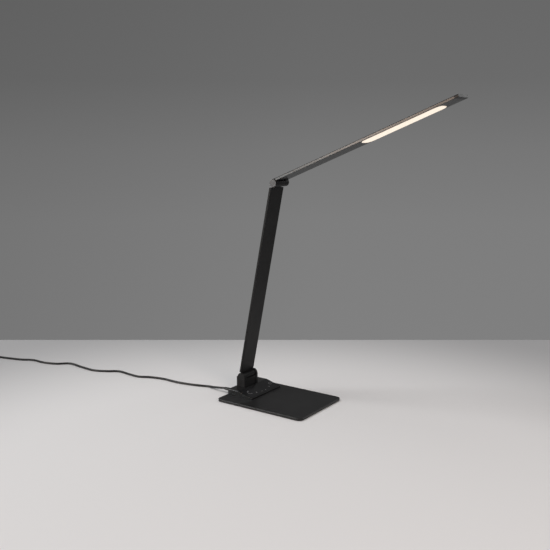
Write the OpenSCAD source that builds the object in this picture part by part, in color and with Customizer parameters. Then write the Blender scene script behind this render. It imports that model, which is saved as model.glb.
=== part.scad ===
// Folding desk lamp with two flat arms, a light panel and a plug-in adapter.
// X runs from the back of the base plate to its front, Y to the far side, Z up.
// The origin is the middle of the flat underside that the lamp stands on.

/* [Base plate] */
// Length of the plate, back to front
base_l = 160; // [140:1:200]
// Width of the plate
base_w = 120; // [110:1:160]
// Radius of the plate's corners
base_r = 8; // [5:0.5:20]
// Thickness of the steel plate
plate_t = 3.4; // [3:0.1:6]
// Bevel round the plate's top edge
plate_bevel = 0.5; // [0.2:0.1:1]
// Thickness of the soft pad under the plate
pad_t = 0.8; // [0.5:0.1:3]
// Distance from the plate's edge to the pad's edge
pad_inset = 4; // [2:0.5:5]

/* [Control housing] */
// Length of the housing, back to front
housing_l = 47.3; // [45:0.1:60]
// Width of the housing
housing_w = 80; // [74:1:90]
// Height of the housing's flat top above the plate
housing_h = 9.5; // [9:0.1:13]
// Length of the flat top
flat_l = 20; // [18.5:0.5:22]
// Height of the housing's front edge
lip_h = 2; // [1.5:0.1:3]
// Thickness of the housing's walls
shell_t = 1.8; // [1.4:0.1:2.2]
// Bevel along the housing's side edges
housing_bevel = 0.5; // [0.3:0.1:1]
// Distance from the plate's back edge to the housing
housing_back = 3; // [1:0.5:8]
// Sideways offset of the housing and the arms from the plate's middle
arm_y = 6; // [-10:0.5:10]

/* [Touch panel] */
// Length of the touch panel, down the slope
panel_l = 23; // [18:0.5:24]
// Width of the touch panel
panel_w = 72; // [60:1:73]
// Thickness of the touch panel
panel_t = 0.5; // [0.3:0.1:0.8]
// Thickness of the sensor film under the panel
film_t = 0.2; // [0.1:0.05:0.3]

/* [Base hinge] */
// Distance from the housing's back to the hinge axis
hinge_set = 9.6; // [9.5:0.1:10.5]
// Height of the hinge axis above the housing's flat top
hinge_rise = 15.8; // [12:0.1:20]
// Width of both hinge barrels, over their ends
barrel_w = 36; // [36:0.5:40]
// Radius of the yoke's rounded top
yoke_r = 6.8; // [6.5:0.1:7.2]
// Distance from the hinge axis to the yoke's front face
yoke_front = 7.3; // [7.2:0.1:8]
// Distance from the hinge axis to the yoke's back face
yoke_back = 8.6; // [7.2:0.1:9]
// Thickness of the yoke's cheeks
cheek_t = 4.5; // [4.2:0.1:5]
// Radius of the barrel between the cheeks
knuckle_r = 6; // [5.9:0.1:6.2]
// Height of the saddle's walls below the hinge axis
saddle_drop = 2.8; // [2:0.1:4]
// Radius of the base hinge's bolt
hinge_bolt_r = 2.5; // [2:0.1:3]

/* [Elbow hinge] */
// Radius of the elbow barrel
elbow_r = 6; // [5.9:0.1:6.5]
// Width of the middle knuckle and its two washers
elbow_mid_w = 18.4; // [14:0.2:20]
// Radius of the elbow's bolt
elbow_bolt_r = 2; // [1.5:0.1:2.2]
// Gap between the elbow barrel and the lower arm's end
elbow_gap = 2.4; // [0.4:0.1:4]
// Thickness of the discs on the barrel's ends
disc_t = 1; // [0.6:0.1:1.5]
// Radius of the discs
disc_r = 5.8; // [5:0.1:5.9]

/* [Arms] */
// Distance between the two hinge axes
lower_reach = 322.5; // [250:0.1:400]
// Distance from the elbow axis to the tip of the upper arm
upper_reach = 312.8; // [305:0.1:314]
// Width of the arms
arm_w = 34; // [33:0.5:34]
// Thickness of the arms
arm_t = 3.9; // [3.8:0.1:4.2]
// Thickness of the arms' walls
arm_wall = 0.9; // [0.8:0.05:0.9]
// Bevel along the inner edges of the arms
arm_bevel = 0.3; // [0.2:0.1:0.5]
// Bevel along the outer edges of the arms
outer_bevel = 0.8; // [0.2:0.1:0.8]
// Distance from the hinge axes to the arms' outer faces
arm_set = 5.9; // [5.8:0.1:5.9]
// Slope of the lower arm above the table, in degrees
lower_tilt = 78.7; // [60:0.1:90]
// Slope of the upper arm above the table, in degrees
upper_tilt = 22; // [0:0.5:60]
// Length of the tongues inside the arms
tongue_l = 28; // [20:1:40]
// Length of the cap on the upper arm's tip
cap_l = 5.8; // [3:0.1:8]

/* [Light panel] */
// Distance from the elbow axis to the window
window_at = 157.5; // [120:0.5:165]
// Length of the window
window_l = 127.5; // [80:0.5:128.5]
// Width of the window
window_w = 28; // [24:0.5:31]
// Radius of the window's corners
window_r = 9.5; // [2:0.5:11.5]
// Height that the diffuser stands out of the arm
diffuser_rise = 0.4; // [0:0.1:0.8]
// Thickness of the circuit board that carries the light chips
led_board_t = 1.1; // [0.8:0.1:1.1]
// Number of light chips in a row
chips_in_row = 20; // [12:1:24]

/* [Cord and adapter] */
// Diameter of the cord
cord_d = 3.6; // [3.4:0.1:3.8]
// Length of the strain relief on the housing
relief_l = 18; // [12:1:19]
// Length of the adapter's case
adapter_l = 60; // [50:1:70]
// Width of the adapter's case
adapter_w = 40; // [34:1:46]
// Height of the adapter's case
adapter_h = 30; // [28:0.5:34]
// Length of the adapter's pins in front of its face
pin_l = 19; // [18:0.5:20]
// Distance between the pins
pin_gap = 18.6; // [17.5:0.1:19.2]

/* [Fits] */
// Gap all round a bolt that a knuckle turns on
running = 0.05; // [0.02:0.01:0.08]
// Gap all round a piece that drops into another
drop_gap = 0.15; // [0.1:0.01:0.2]
// Depth that a screw's thread bites into its hole
thread_bite = 0.15; // [0.1:0.01:0.2]
// Gap between parts that swing past each other
swing_gap = 0.4; // [0.3:0.05:0.5]

/* [Hidden] */
$fn = 48;
eps = 0.5;

// Levels and places that the sizes above lead to
plate_top = pad_t + plate_t;
housing_x = housing_back - base_l / 2;
housing_top = plate_top + housing_h;
slope_a = atan((housing_h - lip_h) / (housing_l - flat_l));
slope_run = (housing_l - flat_l) / cos(slope_a);
hinge_x = housing_x + hinge_set;
hinge_z = housing_top + hinge_rise;
elbow_x = hinge_x + lower_reach * cos(lower_tilt);
elbow_z = hinge_z + lower_reach * sin(lower_tilt);
half_barrel = barrel_w / 2;
half_arm = arm_w / 2;
arm_low = arm_set - arm_t;
slot_low = arm_low + arm_wall;
slot_high = arm_set - arm_wall;
slot_w = arm_w - 2 * arm_wall;

// Fasteners: the housing's, the yoke's, the board's and the arms' screws
housing_screw_r = 1.5;
housing_screw_l = 6.6;
yoke_screw_r = 2;
yoke_screw_l = 11;
yoke_screw_y = 10;
board_screw_r = 1;
board_screw_l = 3;
board_head_h = 1.1;
arm_screw_r = 1;
arm_screw_l = 2.7;
arm_screw_x = 14;
arm_screw_y = 11;
boss_r = 3.2;
board_boss_r = 2.4;
boss_y = housing_w / 2 - 6;
boss_back = 6;
boss_front = housing_l - 15;

// Base hinge: cheeks, washers, bolt and caps
washer_t = 0.5;
side_play = 0.05;
cheek_in = half_barrel - cheek_t;
cap_t = 0.8;
hinge_head_h = 2;
hinge_head_r = hinge_bolt_r + 2;
hinge_pocket_r = hinge_head_r + 0.3;
hinge_seat = half_barrel - cap_t - hinge_head_h;
front_step = 0.5;
shoulder_rise = 0.3;
stem_gap = 0.5;
stem_back = hinge_set - shell_t - stem_gap;
arm_start = yoke_r + swing_gap;
flange_t = 0.8;

// Elbow hinge: knuckles, washers, spring, bolt and discs
elbow_out = half_barrel - disc_t;
elbow_in = elbow_mid_w / 2;
elbow_head_h = 3;
elbow_head_r = elbow_bolt_r + 1.7;
elbow_pocket_r = elbow_head_r + 0.5;
elbow_spring_t = 0.6;
elbow_nut_h = 2.6;
elbow_seat = elbow_out - elbow_head_h - 1;
elbow_stop = elbow_r + swing_gap;
lower_stop = lower_reach - elbow_r - elbow_gap;

// Boards and leads
board_z = plate_top + 1.8;
board_t = 1;
board_x = housing_x + flat_l - 0.5;
board_l = 13;
board_w = 58;
board_screw_y = 22;
board_screw_x = board_x + 10;
lead_w = 5;
lead_t = 1;
groove_gap = 0.1;
flange_lip = 3;
diffuser_flange_t = 0.5;
chip_l = 3.5;
chip_w = 2.8;
chip_t = 0.4;
chip_row_y = 7;
led_board_back = 12;

// Strain relief and the cord's way out of the housing
relief_y = arm_y - 25;
relief_r = 2.9;
relief_z = plate_top + relief_r + 0.2;
relief_end_r = 2.3;
relief_neck_r = 2.4;
relief_ribs = 5;
relief_collar = 3;
rib_gap = 0.7;
relief_end_x = housing_x - relief_l;

// Coil: turns piled in layers that spiral in and out again
coil_turns = 7.35;
coil_layers = 4;
coil_steps = 24;
coil_sides = 6;
coil_mid_r = 20.2;
coil_start_a = 110;
turn_gap = 0.6;
coil_pitch = cord_d + turn_gap;
layer_turns = coil_turns / coil_layers;
coil_in_r = coil_mid_r - coil_pitch * layer_turns / 2;
coil_out_r = coil_mid_r + coil_pitch * layer_turns / 2;
coil_low = cord_d / 2 + 0.05;
coil_at = [-608, -141, 0];

// Route of the free cord's middle, in its own round numbers
cord_route = [
    [relief_end_x, relief_y, relief_z], [relief_end_x - 4, relief_y, relief_z - 0.2],
    [-107, -18.8, 6], [-116, -17.5, 4.5], [-125, -15.5, 2.9], [-135, -14.5, 2],
    [-149, -19, 1.9], [-167, -24, 1.9], [-193, -28, 1.9], [-226, -28, 1.9],
    [-251, -34, 1.9], [-269, -43, 1.9], [-294, -43, 1.9], [-320, -41, 1.9],
    [-339, -53, 1.9], [-362, -63, 1.9], [-395, -62, 1.9], [-430, -59, 1.9],
    [-449, -74, 1.9], [-475, -83, 1.9], [-505, -84, 1.9], [-527, -95, 1.9],
    [-556, -103.5, 1.9], [-595, -112.5, 1.9]];
route_steps = 3;

// Adapter: walls, face, pins and its place at the coil's loose end
tail_l = 12;
adapter_relief_l = 18;
adapter_wall = 2;
adapter_r = 6;
adapter_bevel = 1.5;
face_t = 2.5;
pin_r = 2;
pin_core_r = 1.4;
pin_root = 6;
sleeve_l = 10;
sleeve_r = 1.9;

// Frame of an arm: x runs along it from a hinge axis, z to its outer face
module on_lower() {
    translate([hinge_x, arm_y, hinge_z]) rotate([0, -lower_tilt, 0]) children();
}
module on_upper() {
    translate([elbow_x, arm_y, elbow_z]) rotate([0, -upper_tilt, 0]) children();
}

// Frame of the housing's slope: x runs down it from the bend, z out of it
module on_slope() {
    translate([housing_x + flat_l, arm_y, housing_top]) rotate([0, slope_a, 0]) children();
}

// Copies of a child at mirrored places
module both_sides(y) {
    for (side = [-1, 1]) translate([0, side * y, 0]) children();
}

// Bar along Y, from one distance to another on each side of the middle
module bar_y(r, length) {
    rotate([90, 0, 0]) cylinder(r = r, h = length, center = true);
}
module ring_y(r, from_y, to_y) {
    both_sides((from_y + to_y) / 2) bar_y(r, to_y - from_y);
}

// Plate with round corners and a bevelled top edge
module bevel_plate(l, w, r, h, b) {
    for (x = [r - l / 2, l / 2 - r], y = [r - w / 2, w / 2 - r])
        translate([x, y, 0]) rotate_extrude()
            polygon([[0, 0], [r, 0], [r, h - b], [r - b, h], [0, h]]);
    rotate([90, 0, 90]) linear_extrude(l - 2 * r, center = true) bevel_outline(w, h, b);
    rotate([90, 0, 0]) linear_extrude(w - 2 * r, center = true) bevel_outline(l, h, b);
}
module bevel_outline(w, h, b) {
    polygon([[-w / 2, 0], [w / 2, 0], [w / 2, h - b], [w / 2 - b, h], [b - w / 2, h],
        [-w / 2, h - b]]);
}

// Rectangle with round corners
module round_rect(l, w, r) {
    square([l - 2 * r, w], center = true);
    square([l, w - 2 * r], center = true);
    for (x = [r - l / 2, l / 2 - r], y = [r - w / 2, w / 2 - r]) translate([x, y]) circle(r);
}

// Countersunk screw with a cross in its head: the head's face is at z = 0, the shank below
module sunk_screw(r, length) {
    head_r = 1.9 * r;
    difference() {
        union() {
            translate([0, 0, -r]) cylinder(r1 = r, r2 = head_r, h = r);
            translate([0, 0, -length]) cylinder(r = r, h = length);
        }
        for (a = [0, 90])
            rotate([0, 0, a]) cube([head_r, 0.3 * r, r], center = true);
    }
}
module sunk_hole(r, length) {
    translate([0, 0, -r]) cylinder(r1 = r + drop_gap, r2 = 1.9 * r + drop_gap, h = r + 0.01);
    translate([0, 0, -length]) cylinder(r = r + drop_gap, h = length);
}
module each_housing_screw() {
    for (x = [boss_back, boss_front], y = [arm_y - boss_y, arm_y + boss_y])
        translate([housing_x + x, y, pad_t]) children();
}
module each_yoke_screw() {
    for (y = [arm_y - yoke_screw_y, arm_y + yoke_screw_y])
        translate([hinge_x, y, pad_t]) children();
}
module each_board_screw() {
    for (y = [arm_y - board_screw_y, arm_y + board_screw_y])
        translate([board_screw_x, y, 0]) children();
}
module each_tongue_screw(x) {
    for (y = [-arm_screw_y, arm_screw_y]) translate([x, y, arm_set]) children();
}

// Base plate and its pad
module foot_pad() {
    color("dimgray") linear_extrude(pad_t)
        round_rect(base_l - 2 * pad_inset, base_w - 2 * pad_inset, base_r - pad_inset / 2);
}
module base_plate() {
    color([0.1, 0.1, 0.11]) difference() {
        translate([0, 0, pad_t]) bevel_plate(base_l, base_w, base_r, plate_t, plate_bevel);
        each_housing_screw() mirror([0, 0, 1]) sunk_hole(housing_screw_r, plate_t + eps);
        each_yoke_screw() mirror([0, 0, 1]) sunk_hole(yoke_screw_r, plate_t + eps);
    }
}
module housing_screws() {
    color("silver") each_housing_screw() mirror([0, 0, 1])
        sunk_screw(housing_screw_r, housing_screw_l);
}
module yoke_screws() {
    color("silver") each_yoke_screw() mirror([0, 0, 1]) sunk_screw(yoke_screw_r, yoke_screw_l);
}

// Housing: a wedge-shaped shell, open below, with bosses for its screws
function inner_slope(x) = housing_h - (x - flat_l) * tan(slope_a) - shell_t / cos(slope_a);
module wedge(outline, width) {
    translate([housing_x, arm_y, plate_top]) rotate([90, 0, 0])
        linear_extrude(width, center = true) polygon(outline);
}
module housing_bosses() {
    each_housing_screw() cylinder(r = boss_r, h = housing_top);
    each_board_screw() translate([0, 0, board_z + board_t])
        cylinder(r = board_boss_r, h = housing_top);
}
module housing_cavity() {
    inner_l = housing_l - shell_t;
    bend = flat_l - shell_t * tan(slope_a / 2);
    difference() {
        wedge([[shell_t, -eps], [inner_l, -eps], [inner_l, inner_slope(inner_l)],
            [bend, housing_h - shell_t], [shell_t, housing_h - shell_t]],
            housing_w - 2 * shell_t);
        housing_bosses();
    }
}
module side_bevels() {
    b = housing_bevel * sqrt(2);
    for (side = [-1, 1]) {
        translate([housing_x + flat_l / 2, arm_y + side * housing_w / 2, housing_top])
            rotate([45, 0, 0]) cube([2 * flat_l, b, b], center = true);
        on_slope() translate([slope_run / 2, side * housing_w / 2, 0])
            rotate([45, 0, 0]) cube([2 * slope_run, b, b], center = true);
    }
}
module panel_recess(extra, depth) {
    on_slope() translate([slope_run / 2, 0, -depth / 2])
        cube([panel_l + extra, panel_w + extra, depth], center = true);
}
module housing_shell() {
    color([0.08, 0.08, 0.09]) difference() {
        wedge([[0, 0], [housing_l, 0], [housing_l, lip_h], [flat_l, housing_h],
            [0, housing_h]], housing_w);
        housing_cavity();
        side_bevels();
        on_slope() translate([slope_run / 2, 0, 0])
            cube([panel_l + 2 * drop_gap, panel_w + 2 * drop_gap, 2 * (panel_t + film_t)],
                center = true);
        translate([hinge_x - stem_back - drop_gap, arm_y - half_barrel - drop_gap,
            housing_top - 2 * shell_t])
            cube([stem_back + yoke_front + 2 * drop_gap, barrel_w + 2 * drop_gap, 4 * shell_t]);
        each_housing_screw()
            cylinder(r = housing_screw_r - thread_bite, h = housing_screw_l + 0.3);
        each_board_screw() translate([0, 0, board_z])
            cylinder(r = board_screw_r - thread_bite, h = board_screw_l + 0.3);
        translate([housing_x, relief_y, relief_z]) rotate([0, 90, 0])
            cylinder(r = relief_neck_r + drop_gap, h = 4 * shell_t, center = true);
    }
}

// Touch panel with its sensor film, let into the slope
module sensor_film() {
    color("orange") on_slope() translate([slope_run / 2, 0, -panel_t - film_t / 2])
        cube([panel_l, panel_w, film_t], center = true);
}
module touch_panel() {
    color([0.03, 0.03, 0.04]) on_slope() translate([slope_run / 2, 0, -panel_t / 2])
        cube([panel_l, panel_w, panel_t], center = true);
}

// Control board inside the housing, its parts, its screws and the lead from the cord
module control_board() {
    color("darkgreen") difference() {
        translate([board_x, arm_y - board_w / 2, board_z]) cube([board_l, board_w, board_t]);
        each_board_screw() cylinder(r = board_screw_r + drop_gap, h = housing_top);
    }
}
module board_parts() {
    part_x = board_x + 7;
    color("dimgray") translate([0, 0, board_z + board_t]) {
        translate([board_x, relief_y - 4, 0]) cube([5, 8, 2.6]);
        for (y = [-8, 6]) translate([part_x, arm_y + y, 0]) cube([4, 5, 0.9]);
        for (y = [16, 20]) translate([board_x + 3, arm_y + y, 0]) cylinder(r = 1.6, h = 2.2);
        translate([part_x, arm_y - 16, 0]) cube([3, 6, 0.8]);
    }
}
module board_screws() {
    color("silver") each_board_screw() translate([0, 0, board_z]) {
        cylinder(r = board_screw_r, h = board_screw_l);
        difference() {
            translate([0, 0, -board_head_h]) cylinder(r = 1.9 * board_screw_r, h = board_head_h);
            translate([0, 0, -board_head_h]) cube([2.4, 0.4, 1], center = true);
            translate([0, 0, -board_head_h]) cube([0.4, 2.4, 1], center = true);
        }
    }
}
module inlet_lead() {
    start_x = housing_x + shell_t + 1;
    color("dimgray") translate([start_x, relief_y, relief_z]) rotate([0, 90, 0])
        cylinder(r = 1.2, h = board_x - start_x);
}

// Base hinge: a yoke on the plate, with a saddle that the arm's barrel turns in
module hinge_yoke() {
    color([0.09, 0.09, 0.1]) difference() {
        translate([hinge_x, arm_y, hinge_z]) union() {
            bar_y(yoke_r, barrel_w);
            translate([-yoke_back, -half_barrel, -hinge_rise])
                cube([yoke_back + yoke_front, barrel_w, hinge_rise + shoulder_rise]);
            translate([-stem_back, -half_barrel, plate_top - hinge_z])
                cube([stem_back + yoke_front, barrel_w, hinge_z - plate_top]);
        }
        translate([hinge_x, arm_y, hinge_z]) {
            bar_y(knuckle_r + swing_gap, 2 * cheek_in);
            translate([-yoke_back - eps, -cheek_in, -saddle_drop])
                cube([yoke_back + yoke_front + 2 * eps, 2 * cheek_in, yoke_r + 2 * saddle_drop]);
            translate([yoke_front - front_step, -cheek_in, -hinge_rise - eps])
                cube([yoke_front, 2 * cheek_in, hinge_rise]);
            bar_y(hinge_bolt_r + running, barrel_w + eps);
            ring_y(hinge_pocket_r, hinge_seat, half_barrel + eps);
        }
        each_yoke_screw() cylinder(r = yoke_screw_r - thread_bite, h = yoke_screw_l + 0.5);
    }
}
module hinge_bolt() {
    color("silver") translate([hinge_x, arm_y, hinge_z]) difference() {
        union() {
            translate([0, -hinge_seat - hinge_head_h / 2, 0]) bar_y(hinge_head_r, hinge_head_h);
            bar_y(hinge_bolt_r, 2 * (hinge_seat + hinge_head_h - 0.2));
        }
        translate([0, -hinge_seat - hinge_head_h, 0]) rotate([90, 0, 0])
            cylinder(r = hinge_bolt_r * 0.65, h = 2.4, center = true, $fn = 6);
    }
}
module hex_nut(r, corner_r, h) {
    rotate([90, 0, 0]) difference() {
        cylinder(r = corner_r, h = h, center = true, $fn = 6);
        cylinder(r = r - thread_bite, h = h + eps, center = true);
    }
}
module hinge_nut() {
    color("silver") translate([hinge_x, arm_y + hinge_seat + hinge_head_h / 2, hinge_z])
        hex_nut(hinge_bolt_r, hinge_head_r, hinge_head_h);
}
module hinge_washers() {
    color("gold") translate([hinge_x, arm_y, hinge_z]) difference() {
        ring_y(knuckle_r - 0.4, cheek_in - washer_t, cheek_in);
        bar_y(hinge_bolt_r + running, barrel_w);
    }
}
module hinge_caps() {
    color([0.07, 0.07, 0.08]) translate([hinge_x, arm_y, hinge_z])
        ring_y(hinge_pocket_r - drop_gap, half_barrel - cap_t, half_barrel);
}

// Flat tube that both arms are cut from, and the tongue that fits inside its ends
module arm_outline() {
    in = half_arm - arm_bevel;
    out = half_arm - outer_bevel;
    polygon([[-in, arm_low], [in, arm_low], [half_arm, arm_low + arm_bevel],
        [half_arm, arm_set - outer_bevel], [out, arm_set], [-out, arm_set],
        [-half_arm, arm_set - outer_bevel], [-half_arm, arm_low + arm_bevel]]);
}
module along_x(l) {
    rotate([90, 0, 90]) linear_extrude(l) children();
}
module arm_tube(l) {
    along_x(l) difference() {
        arm_outline();
        translate([-slot_w / 2, slot_low]) square([slot_w, slot_high - slot_low]);
    }
}
module tongue(l) {
    fit_w = slot_w - 2 * drop_gap;
    groove_w = lead_w + 2 * drop_gap;
    difference() {
        translate([0, -fit_w / 2, slot_low]) cube([l, fit_w, slot_high - slot_low]);
        translate([-eps, -groove_w / 2, slot_low - eps])
            cube([l + 2 * eps, groove_w, lead_t + groove_gap + eps]);
    }
}
module tongue_pilots(x) {
    each_tongue_screw(x) translate([0, 0, -arm_screw_l - 0.1])
        cylinder(r = arm_screw_r - thread_bite, h = arm_screw_l + 1);
}

// Barrel end of the lower arm, which turns between the yoke's cheeks
module arm_knuckle() {
    mid = cheek_in - washer_t - side_play;
    color([0.09, 0.09, 0.1]) on_lower() difference() {
        union() {
            bar_y(knuckle_r, 2 * mid);
            translate([0, -mid, arm_low]) cube([arm_start + flange_t, 2 * mid, arm_t]);
            translate([arm_start, 0, 0]) along_x(flange_t)
                arm_outline();
            translate([arm_start + flange_t - 0.1, 0, 0]) tongue(tongue_l);
        }
        bar_y(hinge_bolt_r + running, barrel_w);
        tongue_pilots(arm_start + arm_screw_x);
    }
}
lower_from = arm_start + flange_t;
lower_to = lower_stop - flange_t;
module lower_arm() {
    color([0.12, 0.12, 0.13]) on_lower() difference() {
        translate([lower_from, 0, 0]) arm_tube(lower_to - lower_from);
        for (x = [arm_start + arm_screw_x, lower_stop - arm_screw_x])
            each_tongue_screw(x) sunk_hole(arm_screw_r, arm_wall + 0.3);
    }
}
module lower_arm_screws() {
    color("silver") on_lower()
        for (x = [arm_start + arm_screw_x, lower_stop - arm_screw_x])
            each_tongue_screw(x) sunk_screw(arm_screw_r, arm_screw_l);
}
module flat_lead(from_x, to_x) {
    translate([from_x, -lead_w / 2, slot_low]) cube([to_x - from_x, lead_w, lead_t]);
}
module lower_lead() {
    color("dimgray") on_lower() flat_lead(lower_from, lower_to);
}

// Middle knuckle of the elbow, on the lower arm's upper end
module elbow_knuckle() {
    mid = elbow_in - washer_t - side_play;
    color([0.09, 0.09, 0.1]) on_lower() difference() {
        union() {
            translate([lower_reach, 0, 0]) bar_y(elbow_r, 2 * mid);
            translate([lower_to, -mid, arm_low]) cube([lower_reach - lower_to, 2 * mid, arm_t]);
            translate([lower_to, 0, 0]) along_x(flange_t)
                arm_outline();
            translate([lower_to - tongue_l + 0.1, 0, 0]) tongue(tongue_l);
        }
        translate([lower_reach, 0, 0]) bar_y(elbow_bolt_r + running, barrel_w);
        tongue_pilots(lower_stop - arm_screw_x);
    }
}

// Fork of the elbow: two outer knuckles and a tongue, on the upper arm
module elbow_fork() {
    color([0.08, 0.08, 0.09]) on_upper() difference() {
        union() {
            ring_y(elbow_r, elbow_in, elbow_out);
            for (y = [-elbow_out, elbow_in])
                translate([0, y, 0]) cube([elbow_stop, elbow_out - elbow_in, arm_set]);
            translate([elbow_stop - 1, 0, 0]) tongue(tongue_l + 1);
        }
        bar_y(elbow_stop, 2 * elbow_in);
        bar_y(elbow_bolt_r + running, barrel_w);
        ring_y(elbow_pocket_r, elbow_seat, elbow_out + eps);
        tongue_pilots(elbow_stop + arm_screw_x);
    }
}
module elbow_bolt() {
    reach = elbow_seat + elbow_spring_t + elbow_nut_h + 0.1;
    color("silver") on_upper() difference() {
        union() {
            translate([0, -elbow_seat - elbow_head_h / 2, 0]) bar_y(elbow_head_r, elbow_head_h);
            translate([0, (reach - elbow_seat) / 2, 0]) bar_y(elbow_bolt_r, reach + elbow_seat);
        }
        translate([0, -elbow_seat - elbow_head_h, 0]) rotate([90, 0, 0])
            cylinder(r = elbow_bolt_r * 0.8, h = 3, center = true, $fn = 6);
    }
}
module elbow_nut() {
    color("silver") on_upper()
        translate([0, elbow_seat + elbow_spring_t + elbow_nut_h / 2, 0])
            hex_nut(elbow_bolt_r, elbow_head_r, elbow_nut_h);
}
module elbow_spring() {
    color("gray") on_upper() translate([0, elbow_seat + elbow_spring_t / 2, 0]) difference() {
        bar_y(elbow_head_r, elbow_spring_t);
        bar_y(elbow_bolt_r + running, barrel_w);
    }
}
module elbow_washers() {
    color("gold") on_upper() difference() {
        ring_y(elbow_r - 0.6, elbow_in - washer_t, elbow_in);
        bar_y(elbow_bolt_r + running, barrel_w);
    }
}
module elbow_discs() {
    color("lightgray") on_upper() {
        ring_y(disc_r, elbow_out, half_barrel);
        ring_y(elbow_pocket_r - drop_gap, elbow_out - 0.6, elbow_out);
    }
}

// Upper arm with the window for the light panel
upper_to = upper_reach - cap_l;
window_mid = window_at + window_l / 2;
module upper_arm() {
    color([0.12, 0.12, 0.13]) on_upper() difference() {
        translate([elbow_stop, 0, 0]) arm_tube(upper_to - elbow_stop);
        translate([window_mid, 0, arm_low - eps]) linear_extrude(arm_wall + 2 * eps)
            round_rect(window_l, window_w, window_r);
        each_tongue_screw(elbow_stop + arm_screw_x) sunk_hole(arm_screw_r, arm_wall + 0.3);
    }
}
module upper_arm_screws() {
    color("silver") on_upper()
        each_tongue_screw(elbow_stop + arm_screw_x) sunk_screw(arm_screw_r, arm_screw_l);
}
module upper_lead() {
    color("dimgray") on_upper() flat_lead(elbow_stop, window_at - flange_lip - 1);
}
module led_board() {
    board_back = window_at - led_board_back;
    board_w2 = slot_w - 4 * drop_gap;
    color("white") on_upper()
        translate([board_back, -board_w2 / 2, slot_high - led_board_t])
            cube([window_l + led_board_back + 1, board_w2, led_board_t]);
}
module led_chips() {
    step = window_l / chips_in_row;
    color("khaki") on_upper()
        for (i = [0 : chips_in_row - 1], y = [-chip_row_y, chip_row_y])
            translate([window_at + (i + 0.5) * step, y, slot_high - led_board_t - chip_t / 2])
                cube([chip_l, chip_w, chip_t], center = true);
}
module diffuser() {
    lip_l = window_l + 2 * flange_lip;
    lip_w = slot_w - 2 * drop_gap;
    color([1, 0.97, 0.9]) on_upper() {
        translate([window_mid, 0, arm_low - diffuser_rise]) linear_extrude(arm_wall + diffuser_rise)
            round_rect(window_l - 2 * drop_gap, window_w - 2 * drop_gap, window_r - drop_gap);
        translate([window_mid - lip_l / 2, -lip_w / 2, slot_low])
            cube([lip_l, lip_w, diffuser_flange_t]);
    }
}
module tip_cap() {
    plug_w = slot_w - 2 * drop_gap;
    plug_l = 8;
    color([0.08, 0.08, 0.09]) on_upper() {
        translate([upper_to, 0, 0]) along_x(cap_l)
            arm_outline();
        translate([upper_to - plug_l, -plug_w / 2, slot_low + drop_gap])
            cube([plug_l, plug_w, slot_high - slot_low - 2 * drop_gap]);
    }
}

// Strain relief: a ribbed taper, with x running away from the wall it is fixed in
function relief_outline(l, r, end_r, neck_r, wall) = concat(
    [[0, -wall - 1], [r, -wall - 1], [r, -wall], [neck_r, -wall], [neck_r, 0], [r, 0],
        [r, relief_collar]],
    [for (i = [0 : relief_ribs - 1]) let (
            step = (l - relief_collar) / relief_ribs,
            from = relief_collar + i * step,
            out_r = r - (r - end_r) * (i + 0.5) / relief_ribs,
            in_r = out_r - 0.45)
        each [[in_r, from], [in_r, from + rib_gap], [out_r, from + rib_gap],
            [out_r, from + step]]],
    [[0, l]]);
module relief(l, wall) {
    rotate([0, 90, 0]) rotate_extrude()
        polygon(relief_outline(l, relief_r, relief_end_r, relief_neck_r, wall));
}
module strain_relief() {
    color([0.06, 0.06, 0.06]) translate([housing_x, relief_y, relief_z]) rotate([0, 0, 180])
        relief(relief_l, shell_t);
}

// Curve through a list of points, with each stretch cut into equal steps
function spline_point(p, i, t) = let (
        a = p[max(i - 1, 0)], b = p[i], c = p[i + 1], d = p[min(i + 2, len(p) - 1)])
    0.5 * (2 * b + (c - a) * t + (2 * a - 5 * b + 4 * c - d) * t * t
        + (3 * b - a - 3 * c + d) * t * t * t);
function spline(p, steps) = concat(
    [for (i = [0 : len(p) - 2], j = [0 : steps - 1]) spline_point(p, i, j / steps)],
    [p[len(p) - 1]]);

// Tube of one radius round a list of points, with square ends
function unit(v) = v / norm(v);
function heading(p, i) = unit(p[min(i + 1, len(p) - 1)] - p[max(i - 1, 0)]);
function tube_points(p, r, sides) = [for (i = [0 : len(p) - 1]) let (
        t = heading(p, i), across = unit(cross([0, 0, 1], t)), up = cross(t, across))
    for (k = [0 : sides - 1])
        p[i] + r * (cos(360 * k / sides) * across + sin(360 * k / sides) * up)];
module tube(p, r, sides) {
    rings = len(p);
    walls = [for (i = [0 : rings - 2], k = [0 : sides - 1]) let (
            a = i * sides + k, b = i * sides + (k + 1) % sides)
        each [[a, b + sides, b], [a, a + sides, b + sides]]];
    ends = [for (k = [1 : sides - 2])
        each [[0, k, k + 1], [(rings - 1) * sides, (rings - 1) * sides + k + 1,
            (rings - 1) * sides + k]]];
    polyhedron(points = tube_points(p, r, sides), faces = concat(walls, ends));
}

// Middle line of the coil: it spirals in and out, and climbs a layer at each reversal
function ramp(x) = let (t = min(max(x, 0), 1)) t * t * (3 - 2 * t);
function coil_layer(t) = min(floor(t / layer_turns), coil_layers - 1);
function coil_radius(t) = let (k = coil_layer(t), u = coil_pitch * (t - k * layer_turns))
    k % 2 == 0 ? coil_out_r - u : coil_in_r + u;
function coil_height(t, k = 1) = k == coil_layers ? coil_low
    : coil_height(t, k + 1) + coil_pitch * ramp((t - k * layer_turns) / 0.5 + 0.5);
function coil_point(t) = let (a = coil_start_a + 360 * t)
    [coil_radius(t) * cos(a), coil_radius(t) * sin(a), coil_height(t)] + coil_at;
function turned(a) = [-sin(a), cos(a), 0];
coil_end_a = coil_start_a + 360 * coil_turns;
coil_first = coil_point(0) - cord_d * turned(coil_start_a);
coil_last = coil_point(coil_turns) + tail_l * turned(coil_end_a);
coil_rings = round(coil_turns * coil_steps);
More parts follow.
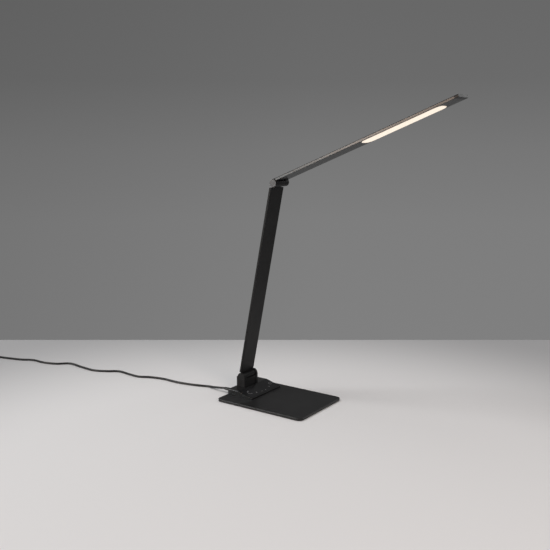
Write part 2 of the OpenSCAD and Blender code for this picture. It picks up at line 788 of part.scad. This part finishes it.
coil_line = concat([coil_first],
    [for (i = [0 : coil_rings]) coil_point(i * coil_turns / coil_rings)], [coil_last]);
coil_least = min([for (i = [0 : coil_rings], j = [i + 8 : 1 : coil_rings])
    norm(coil_point(i * coil_turns / coil_rings) - coil_point(j * coil_turns / coil_rings))]);
lead_line = spline(concat(cord_route, [coil_first - cord_d * turned(coil_start_a), coil_first]),
    route_steps);
function line_length(p, i = 0) = i >= len(p) - 1 ? 0 : norm(p[i + 1] - p[i]) + line_length(p, i + 1);
echo(least_gap_in_coil = coil_least - cord_d);
echo(lead_length = line_length(lead_line), coil_length = line_length(coil_line));
module cord_lead() {
    color([0.05, 0.05, 0.05]) tube(lead_line, cord_d / 2, 8);
}
module cord_coil() {
    color([0.05, 0.05, 0.05]) tube(coil_line, cord_d / 2, coil_sides);
}

// Adapter at the coil's loose end: x runs along it, away from the cord
module on_adapter() {
    translate(coil_last) rotate([0, 0, coil_end_a + 90]) children();
}
case_z = -coil_last[2];
case_x = adapter_relief_l;
face_x = case_x + adapter_l;
module adapter_relief() {
    color([0.06, 0.06, 0.06]) on_adapter() translate([adapter_relief_l, 0, 0])
        rotate([0, 0, 180]) relief(adapter_relief_l, adapter_wall);
}
module adapter_body(l) {
    translate([case_x + l / 2, 0, case_z + adapter_h / 2])
        for (side = [0, 1]) mirror([0, 0, side])
            bevel_plate(l, adapter_w, adapter_r, adapter_h / 2, adapter_bevel);
}
module adapter_case() {
    inner_w = adapter_w - 2 * adapter_wall;
    inner_h = adapter_h - 2 * adapter_wall;
    color([0.08, 0.08, 0.08]) on_adapter() difference() {
        adapter_body(adapter_l);
        translate([case_x + adapter_wall, -inner_w / 2, case_z + adapter_wall])
            cube([adapter_l, inner_w, inner_h]);
        rotate([0, 90, 0]) cylinder(r = relief_neck_r + drop_gap, h = case_x + 3 * adapter_wall);
    }
}
module adapter_face() {
    fit_w = adapter_w - 2 * adapter_wall - 2 * drop_gap;
    fit_h = adapter_h - 2 * adapter_wall - 2 * drop_gap;
    color([0.1, 0.1, 0.1]) on_adapter() difference() {
        translate([face_x - face_t, -fit_w / 2, case_z + adapter_wall + drop_gap])
            cube([face_t, fit_w, fit_h]);
        each_pin() translate([-face_t - eps, 0, 0]) rotate([0, 90, 0])
            cylinder(r = pin_core_r, h = face_t + 2 * eps);
    }
}
module each_pin() {
    for (y = [-pin_gap / 2, pin_gap / 2])
        translate([face_x, y, case_z + adapter_h / 2]) children();
}
module adapter_pins() {
    color("silver") on_adapter() each_pin() rotate([0, 90, 0]) {
        translate([0, 0, -pin_root]) cylinder(r = pin_core_r, h = pin_root + sleeve_l);
        translate([0, 0, sleeve_l]) cylinder(r = pin_r, h = pin_l - sleeve_l - pin_r / 2);
        translate([0, 0, pin_l - pin_r / 2]) cylinder(r1 = pin_r, r2 = pin_r / 2, h = pin_r / 2);
    }
}
module pin_sleeves() {
    color([0.1, 0.1, 0.1]) on_adapter() each_pin() rotate([0, 90, 0]) difference() {
        cylinder(r = sleeve_r, h = sleeve_l);
        translate([0, 0, -eps]) cylinder(r = pin_core_r, h = sleeve_l + 2 * eps);
    }
}
module adapter_board() {
    board_l2 = adapter_l - 20;
    color("darkgreen") on_adapter()
        translate([case_x + 8, 3 - adapter_w / 2, case_z + 5]) cube([board_l2, adapter_w - 6, 1.6]);
}
module adapter_parts() {
    color("goldenrod") on_adapter() translate([case_x + 8, 0, case_z + 6.6]) {
        translate([16, -9, 0]) cube([16, 18, 15]);
        translate([7, 8, 0]) cylinder(r = 4, h = 12);
        translate([7, -8, 0]) cylinder(r = 4, h = 13);
        translate([34, -12, 0]) cube([5, 24, 8]);
    }
}

foot_pad();
base_plate();
housing_shell();
housing_screws();
sensor_film();
touch_panel();
control_board();
board_parts();
board_screws();
inlet_lead();
hinge_yoke();
yoke_screws();
hinge_bolt();
hinge_nut();
hinge_washers();
hinge_caps();
arm_knuckle();
lower_arm();
lower_arm_screws();
lower_lead();
elbow_knuckle();
elbow_fork();
elbow_bolt();
elbow_nut();
elbow_spring();
elbow_washers();
elbow_discs();
upper_arm();
upper_arm_screws();
upper_lead();
led_board();
led_chips();
diffuser();
tip_cap();
strain_relief();
cord_lead();
cord_coil();
adapter_relief();
adapter_case();
adapter_face();
adapter_pins();
pin_sleeves();
adapter_board();
adapter_parts();
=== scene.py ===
"""Looks for a folding desk lamp: satin black metal, a touch panel, a warm light and a thin black cord."""

import math

import bpy
import numpy as np
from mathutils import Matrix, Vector


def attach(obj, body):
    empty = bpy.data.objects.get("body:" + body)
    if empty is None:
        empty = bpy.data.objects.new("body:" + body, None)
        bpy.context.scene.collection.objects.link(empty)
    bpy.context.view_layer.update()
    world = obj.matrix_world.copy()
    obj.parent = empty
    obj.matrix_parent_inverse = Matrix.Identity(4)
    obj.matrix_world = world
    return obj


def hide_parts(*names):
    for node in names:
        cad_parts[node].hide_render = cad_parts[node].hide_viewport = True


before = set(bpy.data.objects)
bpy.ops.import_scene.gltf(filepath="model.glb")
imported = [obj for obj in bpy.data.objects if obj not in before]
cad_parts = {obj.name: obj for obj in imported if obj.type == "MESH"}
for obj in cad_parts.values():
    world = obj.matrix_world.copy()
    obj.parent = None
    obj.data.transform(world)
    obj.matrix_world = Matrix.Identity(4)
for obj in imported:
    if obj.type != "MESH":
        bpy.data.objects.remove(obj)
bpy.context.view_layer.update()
MM = 0.001


# Sizes that the part's source also has, in millimetres and degrees

ARM_Y = 6
HOUSING_X = -77
HOUSING_TOP = 13.7
FLAT_L = 20
SLOPE_DROP = 7.5
SLOPE_L = 27.3
LOWER_TILT = 78.7
UPPER_TILT = 22
CORD_D = 3.6


# Camera as fitted to the photograph, in millimetres

CAMERA_AT = (670.3, -965.9, 413.2)
CAMERA_TARGET = (-8.13, 0, 202.85)
CAMERA_LENS = 50.37
SENSOR_W = 36


def make_camera():
    """A camera on CAMERA_AT that looks at CAMERA_TARGET."""
    data = bpy.data.cameras.new("camera")
    data.lens = CAMERA_LENS
    data.sensor_width = SENSOR_W
    camera = bpy.data.objects.new("camera", data)
    bpy.context.scene.collection.objects.link(camera)
    place = Vector(CAMERA_AT) * MM
    camera.location = place
    camera.rotation_euler = (Vector(CAMERA_TARGET) * MM - place).to_track_quat("-Z", "Y").to_euler()
    bpy.context.scene.camera = camera


make_camera()


# Cord in millimetres: the route's own points, then a coil that spirals in and out in layers

CORD_ROUTE = [
    (-95, -19, 7.3), (-99, -19, 7.1), (-107, -18.8, 6), (-116, -17.5, 4.5), (-125, -15.5, 2.9),
    (-135, -14.5, 2), (-149, -19, 1.9), (-167, -24, 1.9), (-193, -28, 1.9), (-226, -28, 1.9),
    (-251, -34, 1.9), (-269, -43, 1.9), (-294, -43, 1.9), (-320, -41, 1.9), (-339, -53, 1.9),
    (-362, -63, 1.9), (-395, -62, 1.9), (-430, -59, 1.9), (-449, -74, 1.9), (-475, -83, 1.9),
    (-505, -84, 1.9), (-527, -95, 1.9), (-556, -103.5, 1.9), (-595, -112.5, 1.9)]
COIL_AT = (-608, -141, 0)
COIL_TURNS = 7.35
COIL_LAYERS = 4
COIL_MID_R = 20.2
COIL_START = 110
COIL_PITCH = CORD_D + 0.6
COIL_LOW = CORD_D / 2 + 0.05
LAYER_TURNS = COIL_TURNS / COIL_LAYERS
CLIMB_TURNS = 0.5
TAIL_L = 12
ROUTE_STEPS = 8
COIL_STEPS = 48


def spline(points, steps):
    """Catmull-Rom curve: each stretch is the cubic through its two ends, with their neighbours' slopes."""
    p = np.array(points, float)
    a = np.vstack([p[:1], p[:-2]])[:, None]
    b, c = p[:-1, None], p[1:, None]
    d = np.vstack([p[2:], p[-1:]])[:, None]
    t = (np.arange(steps) / steps)[None, :, None]
    cubic = 2 * b + (c - a) * t + (2 * a - 5 * b + 4 * c - d) * t**2 + (3 * b - a - 3 * c + d) * t**3
    return np.vstack([(0.5 * cubic).reshape(-1, 3), p[-1:]])


def coil_points(t):
    """Coil's middle line at turns t: the radius falls and rises by a pitch a turn, and each reversal climbs
    a layer along a smooth step CLIMB_TURNS long."""
    layer = np.minimum(np.floor(t / LAYER_TURNS), COIL_LAYERS - 1)
    run = COIL_PITCH * (t - layer * LAYER_TURNS)
    half = COIL_PITCH * LAYER_TURNS / 2
    radius = np.where(layer % 2 == 0, COIL_MID_R + half - run, COIL_MID_R - half + run)
    starts = LAYER_TURNS * np.arange(1, COIL_LAYERS)
    climb = np.clip((t[:, None] - starts) / CLIMB_TURNS + 0.5, 0, 1)
    height = COIL_LOW + COIL_PITCH * (climb**2 * (3 - 2 * climb)).sum(1)
    angle = np.radians(COIL_START + 360 * t)
    return np.stack([radius * np.cos(angle), radius * np.sin(angle), height], 1) + np.array(COIL_AT)


def turned(degrees):
    """Unit step along the coil at an angle round it."""
    angle = math.radians(degrees)
    return np.array([-math.sin(angle), math.cos(angle), 0])


def cord_line():
    """Middle line of the whole cord, in metres, from the strain relief to the adapter."""
    coil = coil_points(np.linspace(0, COIL_TURNS, round(COIL_TURNS * COIL_STEPS) + 1))
    first = coil[0] - CORD_D * turned(COIL_START)
    route = CORD_ROUTE + [first - CORD_D * turned(COIL_START), first]
    last = coil[-1] + TAIL_L * turned(COIL_START + 360 * COIL_TURNS)
    return np.vstack([spline(route, ROUTE_STEPS), coil, last]) * MM


def make_cord():
    """Round tube along the cord's middle line, as a curve of one open spline. The thickness is in the
    points' radius, so that the curve's box is no larger than the tube."""
    line = cord_line()
    data = bpy.data.curves.new("cord", "CURVE")
    data.dimensions = "3D"
    data.bevel_depth = 1
    data.bevel_resolution = 4
    data.use_fill_caps = True
    run = data.splines.new("POLY")
    run.points.add(len(line) - 1)
    run.points.foreach_set("co", np.hstack([line, np.ones((len(line), 1))]).ravel())
    run.points.foreach_set("radius", np.full(len(line), CORD_D / 2 * MM))
    run.use_smooth = True
    cord = bpy.data.objects.new("cord", data)
    bpy.context.scene.collection.objects.link(cord)
    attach(cord, "base")
    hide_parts("cord_lead", "cord_coil")
    return cord


cord = make_cord()


# Node helpers for the finishes and the world

class Nodes:
    """A node tree whose nodes are added one by one."""

    def __init__(self, tree):
        self.nodes, self.links = tree.nodes, tree.links

    def node(self, kind, inputs=(), **settings):
        """One node with its settings; inputs is a list of (socket, value or output)."""
        made = self.nodes.new(kind)
        for name, value in settings.items():
            setattr(made, name, value)
        for socket, value in inputs:
            if isinstance(value, bpy.types.NodeSocket):
                self.links.new(value, made.inputs[socket])
            else:
                made.inputs[socket].default_value = value
        return made

    def between(self, value, low, high, from_low=0.3, from_high=0.7, **settings):
        """A number that runs from low to high as value does from from_low to from_high."""
        made = self.node("ShaderNodeMapRange", [("Value", value), ("From Min", from_low),
                                                ("From Max", from_high), ("To Min", low),
                                                ("To Max", high)], **settings)
        return made.outputs["Result"]


class Finish(Nodes):
    """A material with its principled shader at hand."""

    def __init__(self, name):
        self.material = bpy.data.materials.new(name)
        self.material.use_nodes = True
        super().__init__(self.material.node_tree)
        self.shader = self.nodes["Principled BSDF"]
        self.place = self.nodes.new("ShaderNodeTexCoord").outputs["Object"]

    def set(self, **values):
        """Sets the shader's own sockets: an underscore in a name stands for a space."""
        for name, value in values.items():
            self.shader.inputs[name.replace("_", " ")].default_value = value
        return self

    def mapped(self, turn=(0, 0, 0), scale=(1, 1, 1)):
        """Object coordinates turned, then stretched."""
        turned_place = self.node("ShaderNodeMapping", [("Vector", self.place), ("Rotation", turn)])
        return self.node("ShaderNodeVectorMath", [(0, turned_place.outputs[0]), (1, scale)],
                         operation="MULTIPLY").outputs[0]

    def noise(self, size, detail=2, vector=None):
        """Noise whose blobs are about size metres across."""
        made = self.node("ShaderNodeTexNoise", [("Vector", vector or self.place), ("Scale", 1 / size),
                                                ("Detail", detail)])
        return made.outputs["Fac"]

    def colours(self, value, dark, light, low=0.3, high=0.7):
        """A colour that runs from dark to light as value does from low to high."""
        share = self.between(value, 0, 1, low, high)
        made = self.node("ShaderNodeMix", [("Factor", share), ("A", (*dark, 1)), ("B", (*light, 1))],
                         data_type="RGBA")
        return made.outputs["Result"]

    def link(self, output, socket):
        """Feeds one of the shader's sockets."""
        self.links.new(output, self.shader.inputs[socket])
        return self

    def bump(self, height, depth, edge=0):
        """Surface relief depth metres deep, over edges softened by a radius of edge metres."""
        inputs = [("Height", height), ("Strength", 1), ("Distance", depth)]
        if edge:
            soft = self.node("ShaderNodeBevel", [("Radius", edge)], samples=4)
            inputs.append(("Normal", soft.outputs[0]))
        return self.link(self.node("ShaderNodeBump", inputs).outputs[0], "Normal")


def grained(name, dark, light, rough, grain, depth, edge=0.00015, patch=0.02, specular=0.4):
    """Finish of one colour with a raised grain, grain metres across and depth metres deep, and patches of
    lighter, smoother surface, patch metres across."""
    made = Finish(name).set(Specular_IOR_Level=specular)
    patches = made.noise(patch, 4)
    made.link(made.colours(patches, dark, light), "Base Color")
    made.link(made.between(patches, rough + 0.04, rough - 0.04), "Roughness")
    return made.bump(made.noise(grain, 3), depth, edge)


def powder_coat():
    """Satin black powder coat of the base plate: a fine orange peel under a finer speckle."""
    made = Finish("powder_coat").set(Specular_IOR_Level=0.34)
    patches = made.noise(0.03, 4)
    made.link(made.colours(patches, (0.011, 0.011, 0.0113), (0.015, 0.015, 0.0154)), "Base Color")
    made.link(made.between(made.noise(0.0006, 2), 0.42, 0.34), "Roughness")
    peel = made.noise(0.0011, 2)
    speckle = made.noise(0.0003, 2)
    height = made.node("ShaderNodeMath", [(0, peel), (1, speckle)], operation="ADD").outputs[0]
    return made.bump(height, 0.00003, 0.0003)


def anodised(name, tilt, rough, specular):
    """Black anodised extrusion: fine streaks along the arm, which rises at tilt degrees."""
    made = Finish(name).set(Specular_IOR_Level=specular)
    along = made.mapped(turn=(0, math.radians(tilt), 0), scale=(0.02, 1, 1))
    streaks = made.noise(0.0006, 4, along)
    patches = made.noise(0.05, 3)
    made.link(made.colours(patches, (0.009, 0.0091, 0.0094), (0.013, 0.0131, 0.0134)), "Base Color")
    made.link(made.between(streaks, rough - 0.04, rough + 0.04), "Roughness")
    return made.bump(streaks, 0.000008, 0.0002)


def brushed(name, colour, rough=0.3):
    """Turned or rolled bare metal with fine scratches."""
    made = Finish(name).set(Metallic=1.0)
    scratches = made.noise(0.0004, 5, made.mapped(scale=(1, 0.08, 1)))
    darker = tuple(0.75 * c for c in colour)
    made.link(made.colours(scratches, darker, colour), "Base Color")
    made.link(made.between(scratches, rough + 0.1, rough - 0.05), "Roughness")
    return made.bump(scratches, 0.000006, 0.0001)


def lit_panel():
    """Opal panel lit from behind, with a warm glow in faint clouds."""
    made = Finish("opal_panel").set(Roughness=0.35, Base_Color=(0.4, 0.38, 0.33, 1),
                                    Emission_Strength=0.86)
    clouds = made.noise(0.006, 2)
    made.link(made.colours(clouds, (0.98, 0.82, 0.67), (1.0, 0.88, 0.75)), "Emission Color")
    return made.bump(made.noise(0.0008, 1), 0.00001)


def lit_chips():
    """Yellow phosphor chips, lit."""
    made = Finish("chip_phosphor").set(Roughness=0.4, Emission_Strength=1.2)
    dots = made.noise(0.0005, 1)
    made.link(made.colours(dots, (0.9, 0.7, 0.2), (1.0, 0.85, 0.4)), "Base Color")
    return made.link(made.colours(dots, (1.0, 0.8, 0.5), (1.0, 0.92, 0.75)), "Emission Color")


def solder_mask(name, dark, light):
    """Circuit board with traces under its lacquer, as the thin joints of a brick pattern."""
    made = Finish(name).set(Roughness=0.35)
    lines = made.node("ShaderNodeTexBrick", [("Vector", made.place), ("Scale", 180),
                                             ("Mortar Size", 0.03)]).outputs["Fac"]
    made.link(made.colours(lines, dark, light), "Base Color")
    return made.bump(lines, 0.00003)


FINISHES = {
    "plate": powder_coat(),
    "shell": grained("moulded_shell", (0.007, 0.007, 0.0075), (0.012, 0.012, 0.0125), 0.24, 0.0005,
                     0.000005, 0.0002, specular=0.3),
    "casting": grained("painted_casting", (0.007, 0.007, 0.0075), (0.011, 0.011, 0.0115), 0.42, 0.0007,
                       0.00002, 0.0003, specular=0.17),
    "cap": grained("moulded_cap", (0.007, 0.007, 0.0075), (0.011, 0.011, 0.0115), 0.34, 0.0005,
                   0.000005, 0.0002, specular=0.2),
    "lower": anodised("anodised_lower_arm", LOWER_TILT, 0.44, 0.14),
    "upper": anodised("anodised_upper_arm", UPPER_TILT, 0.3, 0.5),
    "disc": grained("hinge_disc", (0.045, 0.045, 0.046), (0.06, 0.06, 0.062), 0.36, 0.0004, 0.00001),
    "panel": grained("touch_gloss", (0.008, 0.008, 0.009), (0.011, 0.011, 0.012), 0.2, 0.002,
                     0.000002, 0.0001),
    "cord": grained("cord_jacket", (0.012, 0.012, 0.012), (0.017, 0.017, 0.017), 0.45, 0.0006,
                    0.00001, 0),
    "foam": grained("foam_pad", (0.02, 0.02, 0.02), (0.035, 0.035, 0.035), 0.9, 0.0006, 0.00015),
    "adapter": grained("adapter_shell", (0.014, 0.014, 0.015), (0.02, 0.02, 0.021), 0.45, 0.0005,
                       0.00003, 0.0004),
    "parts": grained("component_bodies", (0.03, 0.03, 0.035), (0.08, 0.08, 0.09), 0.5, 0.002, 0.00005),
    "film": grained("sensor_foil", (0.5, 0.2, 0.03), (0.6, 0.27, 0.05), 0.35, 0.003, 0.00001),
    "icon": grained("icon_print", (0.16, 0.16, 0.165), (0.24, 0.24, 0.245), 0.5, 0.0008, 0.000005),
    "steel": brushed("zinc_plated_steel", (0.62, 0.62, 0.63)),
    "dark_steel": brushed("blackened_steel", (0.06, 0.06, 0.065), 0.35),
    "brass": brushed("plain_brass", (0.75, 0.55, 0.25)),
    "nickel": brushed("nickel_plate", (0.75, 0.73, 0.68), 0.18),
    "opal": lit_panel(),
    "chips": lit_chips(),
    "board": solder_mask("green_board", (0.01, 0.07, 0.025), (0.03, 0.2, 0.07)),
    "white_board": solder_mask("white_board", (0.7, 0.7, 0.68), (0.85, 0.85, 0.83)),
}

WEARS = {
    "plate": ["base_plate"],
    "shell": ["housing_shell"],
    "cap": ["tip_cap", "hinge_caps"],
    "casting": ["hinge_yoke", "arm_knuckle", "elbow_knuckle", "elbow_fork"],
    "lower": ["lower_arm"],
    "upper": ["upper_arm"],
    "disc": ["elbow_discs"],
    "panel": ["touch_panel"],
    "cord": ["strain_relief", "adapter_relief", "inlet_lead", "lower_lead", "upper_lead"],
    "foam": ["foot_pad"],
    "adapter": ["adapter_case", "adapter_face", "pin_sleeves"],
    "parts": ["board_parts", "adapter_parts"],
    "film": ["sensor_film"],
    "steel": ["housing_screws", "yoke_screws", "board_screws", "hinge_bolt", "hinge_nut",
              "elbow_bolt", "elbow_nut", "elbow_spring"],
    "dark_steel": ["lower_arm_screws", "upper_arm_screws"],
    "brass": ["hinge_washers", "elbow_washers"],
    "nickel": ["adapter_pins"],
    "opal": ["diffuser"],
    "chips": ["led_chips"],
    "board": ["control_board", "adapter_board"],
    "white_board": ["led_board"],
}


def dress(obj, finish):
    """Gives a piece one finish, on all its faces."""
    if not obj.data.materials:
        obj.data.materials.append(None)
    for i in range(len(obj.data.materials)):
        obj.data.materials[i] = FINISHES[finish].material
    return obj


for finish, nodes in WEARS.items():
    for node in nodes:
        dress(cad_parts[node], finish)
dress(cord, "cord")


# New piece: the signs printed on the touch panel

INK = 0.04


def ring_faces(rings, closed):
    """Quads between neighbouring rings of four points, and from the last ring to the first if closed."""
    i = np.arange(rings if closed else rings - 1)[:, None]
    j = np.arange(4)[None, :]
    i2, j2 = (i + 1) % rings, (j + 1) % 4
    corners = [i * 4 + j, i2 * 4 + j, i2 * 4 + j2, i * 4 + j2]
    return np.stack(np.broadcast_arrays(*corners), -1).reshape(-1, 4)


def make_piece(name, points, faces, finish, body):
    """Mesh piece from points in millimetres, riding on a body."""
    data = bpy.data.meshes.new(name)
    data.from_pydata((np.asarray(points) * MM).tolist(), [], np.asarray(faces).tolist())
    data.shade_smooth()
    piece = bpy.data.objects.new(name, data)
    bpy.context.scene.collection.objects.link(piece)
    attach(piece, body)
    return dress(piece, finish)


def on_slope(u, v, w):
    """Points u down the housing's slope from its bend, v across it and w out of it."""
    angle = math.atan2(SLOPE_DROP, SLOPE_L)
    x = HOUSING_X + FLAT_L + u * math.cos(angle) + w * math.sin(angle)
    z = HOUSING_TOP - u * math.sin(angle) + w * math.cos(angle)
    return np.stack([x, ARM_Y + v, z], -1)


def stroke(path, width, closed=False):
    """Flat printed line on the slope: rings of four points along the path, half a width to each side and
    a film of ink high."""
    p = np.array(path, float)
    ahead = np.roll(p, -1, 0) - np.roll(p, 1, 0) if closed else np.gradient(p, axis=0)
    ahead = ahead / np.linalg.norm(ahead, axis=1, keepdims=True)
    side = np.stack([-ahead[:, 1], ahead[:, 0]], 1) * width / 2
    left, right = (p + side).T, (p - side).T
    rings = np.stack([on_slope(*left, 0), on_slope(*right, 0), on_slope(*right, INK),
                      on_slope(*left, INK)], 1)
    faces = ring_faces(len(p), closed)
    if not closed:
        n = 4 * (len(p) - 1)
        faces = np.vstack([faces, [[0, 1, 2, 3]], [[n + 3, n + 2, n + 1, n]]])
    return rings.reshape(-1, 3), faces


def arc(centre, radius, start, end, steps=24):
    """Points of an arc on the slope, from one angle to another in degrees."""
    angle = np.radians(np.linspace(start, end, steps))
    return np.stack([centre[0] + radius * np.cos(angle), centre[1] + radius * np.sin(angle)], 1)


def make_icons():
    """Printed signs: an open ring with a bar for the switch, a dot, a minus, a plus, a dot and a clock."""
    full = dict(start=0, end=345)
    switch = (13, -25)
    clock = (12.7, 31)
    shapes = [
        stroke(arc(switch, 4.2, 150, 390), 0.8),
        stroke([(switch[0] - 5.4, switch[1]), (switch[0] - 1.8, switch[1])], 0.8),
        stroke(arc((19, -14.3), 0.9, **full), 1.1, True),
        stroke([(21, -3.4), (21, -0.4)], 0.6),
        stroke([(21.8, 5.3), (21.8, 8.3)], 0.6),
        stroke([(20.3, 6.8), (23.3, 6.8)], 0.6),
        stroke(arc((18, 20.8), 0.9, **full), 1.1, True),
        stroke(arc(clock, 2.8, **full), 0.7, True),
        stroke([clock, (clock[0] - 2, clock[1])], 0.6),
        stroke([clock, (clock[0], clock[1] + 1.7)], 0.6),
    ]
    offsets = np.cumsum([0] + [len(points) for points, _ in shapes[:-1]])
    points = np.vstack([points for points, _ in shapes])
    faces = np.vstack([faces + first for (_, faces), first in zip(shapes, offsets)])
    return make_piece("panel_icons", points, faces, "icon", "base")


make_icons()


# Table, backdrop and lights

# The table, in millimetres from the camera's foot, and the painted shade round its painted pool of light,
# in metres
TABLE_BACK = -2500
TABLE_EDGE = 1550
TABLE_SIDE = 3500
TABLE_NEAR = (0.75, 0.745, 0.745)
TABLE_PAINTED_SHADE = (0.41, 0.41, 0.415)
PAINTED_POOL_AHEAD = 900
PAINTED_SHADE_SPAN = (0.35, 0.82)

# The wall's tones from its foot to its top, painted darker upwards as painted shade, and the span at its
# left in which painted shade makes it darker
WALL_HEIGHTS = (-0.264, 0.16)
WALL_PAINTED_SHADE_TONES = ((0.0, 0.216), (0.375, 0.206), (0.585, 0.182), (0.79, 0.146), (1.0, 0.138))
WALL_LEFT_SHADE_SPAN = (-0.33, 0.05)
WALL_LEFT_PAINTED_SHADE = 0.86
FILL_COLOUR = (0.94, 0.97, 1.0, 1)
FILL_STRENGTH = 0.3


def camera_ways():
    """Level unit steps ahead of the camera and to its right."""
    camera, target = Vector(CAMERA_AT), Vector(CAMERA_TARGET)
    ahead = Vector((target.x - camera.x, target.y - camera.y, 0)).normalized()
    return ahead, Vector((ahead.y, -ahead.x, 0))


def make_floor():
    """Pale table: a rectangle square to the camera's way of looking, ending behind the lamp, whose colour
    is painted darker away from a painted pool of light round the lamp, as painted shade."""
    ahead, aside = camera_ways()
    start = Vector((CAMERA_AT[0], CAMERA_AT[1], 0))
    reach = ((TABLE_BACK, -TABLE_SIDE), (TABLE_BACK, TABLE_SIDE), (TABLE_EDGE, TABLE_SIDE),
             (TABLE_EDGE, -TABLE_SIDE))
    corners = [(start + ahead * along + aside * across) * MM for along, across in reach]
    data = bpy.data.meshes.new("table")
    data.from_pydata(corners, [], [(0, 1, 2, 3)])
    floor = bpy.data.objects.new("table", data)
    bpy.context.scene.collection.objects.link(floor)
    made = Finish("table_top").set(Roughness=0.55, Specular_IOR_Level=0.3)
    painted_pool = (start + ahead * PAINTED_POOL_AHEAD) * MM
    away = made.node("ShaderNodeVectorMath", [(0, made.place), (1, painted_pool)],
                     operation="DISTANCE").outputs["Value"]
    # Painted shade: the table's base colour darkens with distance from the painted pool of light, in place
    # of light falloff
    shade = made.between(away, 0, 1, *PAINTED_SHADE_SPAN, interpolation_type="SMOOTHSTEP")
    made.link(made.colours(shade, TABLE_NEAR, TABLE_PAINTED_SHADE, 0, 1), "Base Color")
    data.materials.append(made.material)


def make_light(name, place, target, width, height, power, colour=(1, 1, 1), matt=True, glossy=True):
    """Soft box of width by height metres at place, facing target. matt and glossy say whether it lights
    surfaces and whether it shows in their reflections."""
    data = bpy.data.lights.new(name, "AREA")
    data.shape = "RECTANGLE"
    data.size, data.size_y = width, height
    data.energy = power
    data.color = colour
    light = bpy.data.objects.new(name, data)
    bpy.context.scene.collection.objects.link(light)
    light.visible_diffuse = matt
    light.visible_glossy = glossy
    light.location = place
    light.rotation_euler = (Vector(target) - Vector(place)).to_track_quat("-Z", "Y").to_euler()


def make_world():
    """Grey wall for the camera and for reflections, painted darker towards the top and the left as painted
    shade, and a soft even light for all else."""
    world = bpy.data.worlds.new("studio")
    bpy.context.scene.world = world
    world.use_nodes = True
    made = Nodes(world.node_tree)
    way = made.node("ShaderNodeTexCoord").outputs["Generated"]
    height = made.node("ShaderNodeSeparateXYZ", [(0, way)]).outputs["Z"]
    # Painted shade: the wall's colour darkens towards its top, and its strength falls towards its left
    ramp = made.node("ShaderNodeValToRGB", [(0, made.between(height, 0, 1, *WALL_HEIGHTS))])
    stops = ramp.color_ramp.elements
    for place, _ in WALL_PAINTED_SHADE_TONES[1:-1]:
        stops.new(place)
    for stop, (place, tone) in zip(stops, WALL_PAINTED_SHADE_TONES):
        stop.position = place
        stop.color = (tone, tone, tone, 1)
    across = made.node("ShaderNodeVectorMath", [(0, way), (1, camera_ways()[1])],
                       operation="DOT_PRODUCT").outputs["Value"]
    wall = made.nodes["Background"]
    made.links.new(ramp.outputs[0], wall.inputs["Color"])
    made.links.new(made.between(across, WALL_LEFT_PAINTED_SHADE, 1, *WALL_LEFT_SHADE_SPAN), wall.inputs["Strength"])
    fill = made.node("ShaderNodeBackground", [("Color", FILL_COLOUR), ("Strength", FILL_STRENGTH)])
    rays = made.node("ShaderNodeLightPath").outputs
    seen = rays["Is Camera Ray"]
    for kind in ("Is Glossy Ray", "Is Transmission Ray"):
        seen = made.node("ShaderNodeMath", [(0, seen), (1, rays[kind])], operation="MAXIMUM").outputs[0]
    choice = made.node("ShaderNodeMixShader", [(0, seen), (1, fill.outputs[0]), (2, wall.outputs[0])])
    made.links.new(choice.outputs[0], made.nodes["World Output"].inputs["Surface"])


make_floor()
make_world()
make_light("left_panel", (-2.15, -3.0, 0.75), (0, 0, 0.4), 0.9, 1.1, 36, (0.86, 0.96, 1),
           matt=False)
make_light("warm_panel", (-1.45, -3.1, 0.8), (0.2, 0, 0.4), 0.65, 1.1, 34, (1, 0.74, 0.57),
           matt=False)
make_light("sky_box", (-0.9, -0.6, 3.0), (0, 0, 0), 2.6, 2.6, 30, (1, 0.98, 0.97), glossy=False)
make_light("top_box", (-1.1, -0.7, 1.6), (0, 0, 0), 0.5, 0.5, 10)
make_light("front_box", (1.6, -1.0, 1.3), (0.2, -0.1, 0), 1.0, 1.0, 16, (1, 0.85, 0.77),
           glossy=False)
make_light("far_box", (0.8, 1.9, 1.0), (0, 0, 0.4), 0.8, 0.8, 3)

bpy.context.scene.view_settings.view_transform = "Standard"
